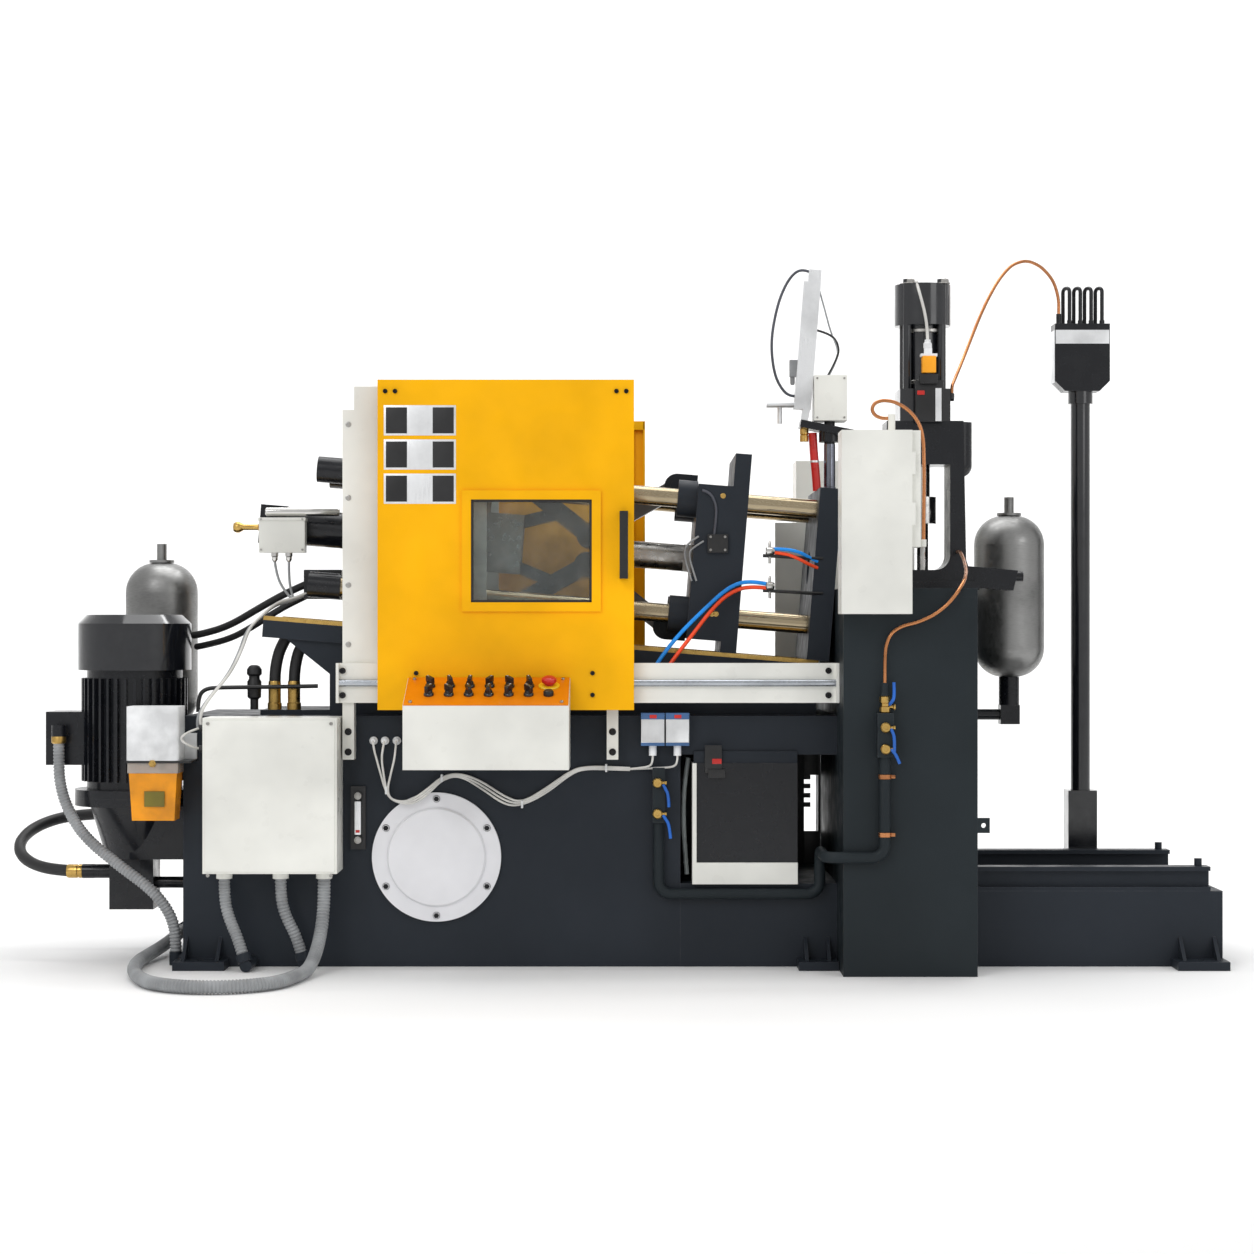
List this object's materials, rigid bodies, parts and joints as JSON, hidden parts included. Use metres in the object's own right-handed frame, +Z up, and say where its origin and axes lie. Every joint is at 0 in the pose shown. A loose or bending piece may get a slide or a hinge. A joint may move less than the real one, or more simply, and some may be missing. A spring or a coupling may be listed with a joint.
{
  "type": "hot chamber die casting machine",
  "caption": "Small hot chamber die casting machine with a toggle clamp on four tilted tie bars, a sliding yellow guard, a shot unit on a pillar and a charcoal base.",
  "frame": {"origin": "middle of the underside of the pillar, on the floor", "axes": "+X along the machine towards the furnace rails, +Y away from the operator, +Z up"},
  "size_m": [3.5778, 1.6708, 2.1251],
  "materials": {
    "charcoal": "gloss",
    "cream": "gloss",
    "yellow": "gloss",
    "orange": "gloss",
    "black": "satin",
    "cover_grey": "satin",
    "machined": "machined",
    "bright": "polished",
    "brass": "satin",
    "alloy": "anodised",
    "clear": "clear",
    "plastic": "gloss",
    "white_plastic": "matte",
    "bottle_grey": "satin",
    "hose": "matte",
    "copper": "satin",
    "grey_conduit": "matte"
  },
  "bodies": {
    "machine": {"base_tank": "charcoal", "base_bay": "charcoal", "floor_feet": "charcoal", "pillar": "charcoal", "furnace_frame": "charcoal", "furnace_rails": "charcoal", "distributor_pole": "charcoal", "distributor_head": "black", "accumulators": "bottle_grey", "accumulator_fittings": "black", "motor_cowl": "black", "motor_body": "black", "pump_unit": "black", "lubricator_head": "white_plastic", "lubricator_tank": "orange", "junction_box": "cream", "control_console": "cream", "console_switches": "plastic", "round_cover": "cover_grey", "level_gauge": "alloy", "flow_switches": "white_plastic", "guard_rails": "cream", "fixed_guards": "cream", "rear_guard": "yellow", "fixed_platen": "charcoal", "rear_platen": "charcoal", "tie_bars": "bright", "tie_bar_nuts": "black", "clamp_cylinder": "charcoal", "clamp_bed": "charcoal", "bed_wear_strips": "brass", "shot_frame": "charcoal", "shot_cylinder": "black", "shot_cabinet": "cream", "rear_cabinet": "cream", "spray_post": "machined", "spray_cylinder": "alloy", "discharge_chute": "cream", "chute_curtain": "black", "water_manifolds": "machined", "copper_pipes": "copper", "motor_conduit": "grey_conduit", "floor_conduit": "grey_conduit", "box_conduit_left": "grey_conduit", "box_conduit_right": "grey_conduit", "pump_hose": "hose"},
    "guard_door": {"guard_door": "yellow", "door_window": "clear", "door_handle": "plastic"},
    "moving_platen": {"moving_platen": "charcoal", "ejector_cylinder": "machined"},
    "crosshead": {"crosshead": "machined"},
    "shot_rod": {"shot_rod": "bright"},
    "cabinet_door": {"cabinet_door": "cream"},
    "upper_rear_link": {"upper_rear_link": "machined"},
    "upper_front_link": {"upper_front_link": "machined"},
    "upper_cross_link": {"upper_cross_link": "machined"},
    "lower_rear_link": {"lower_rear_link": "machined"},
    "lower_front_link": {"lower_front_link": "machined"},
    "lower_cross_link": {"lower_cross_link": "machined"}
  },
  "joints": [
    {"name": "guard_slide", "type": "slide", "parent": "machine", "child": "guard_door", "axis": [1, 0, 0], "range_m": [-0.11, 0.575]},
    {"name": "clamp_slide", "type": "slide", "parent": "machine", "child": "moving_platen", "axis": [0.9968, 0, -0.0802], "range_m": [0, 0.09988]},
    {"name": "crosshead_slide", "type": "slide", "parent": "machine", "child": "crosshead", "axis": [0.9968, 0, -0.0802], "range_m": [0, 0.14833]},
    {"name": "shot_slide", "type": "slide", "parent": "machine", "child": "shot_rod", "axis": [0, 0, -1], "range_m": [0, 0.1]},
    {"name": "cabinet_hinge", "type": "hinge", "parent": "machine", "child": "cabinet_door", "pos_m": [-0.003, -0.6695, 1.27], "axis": [0, 0, 1], "range_deg": [0, 110]},
    {"name": "upper_rear_pivot", "type": "hinge", "parent": "machine", "child": "upper_rear_link", "pos_m": [-1.14297, 0, 1.43952], "axis": [0, 1, 0], "range_deg": [-31.76, 0]},
    {"name": "upper_knee", "type": "hinge", "parent": "upper_rear_link", "child": "upper_front_link", "pos_m": [-0.90721, 0, 1.254], "axis": [0, 1, 0], "range_deg": [0, 63.52]},
    {"name": "upper_cross_pivot", "type": "hinge", "parent": "crosshead", "child": "upper_cross_link", "pos_m": [-1.13471, 0, 1.28838], "axis": [0, 1, 0], "range_deg": [-63.69, 0]},
    {"name": "lower_rear_pivot", "type": "hinge", "parent": "machine", "child": "lower_rear_link", "pos_m": [-1.17665, 0, 1.02088], "axis": [0, 1, 0], "range_deg": [0, 31.76]},
    {"name": "lower_knee", "type": "hinge", "parent": "lower_rear_link", "child": "lower_front_link", "pos_m": [-0.91427, 0, 1.16632], "axis": [0, 1, 0], "range_deg": [-63.52, 0]},
    {"name": "lower_cross_pivot", "type": "hinge", "parent": "crosshead", "child": "lower_cross_link", "pos_m": [-1.14433, 0, 1.16876], "axis": [0, 1, 0], "range_deg": [0, 63.69]}
  ],
  "couplings": [
    {"joint": "crosshead_slide", "follows": "clamp_slide", "ratio": 1.4801},
    {"joint": "upper_rear_pivot", "follows": "clamp_slide", "rad_per_m": -5.5219},
    {"joint": "upper_knee", "follows": "clamp_slide", "rad_per_m": 11.044},
    {"joint": "upper_cross_pivot", "follows": "clamp_slide", "rad_per_m": -11.075},
    {"joint": "lower_rear_pivot", "follows": "clamp_slide", "rad_per_m": 5.5219},
    {"joint": "lower_knee", "follows": "clamp_slide", "rad_per_m": -11.044},
    {"joint": "lower_cross_pivot", "follows": "clamp_slide", "rad_per_m": 11.075}
  ]
}
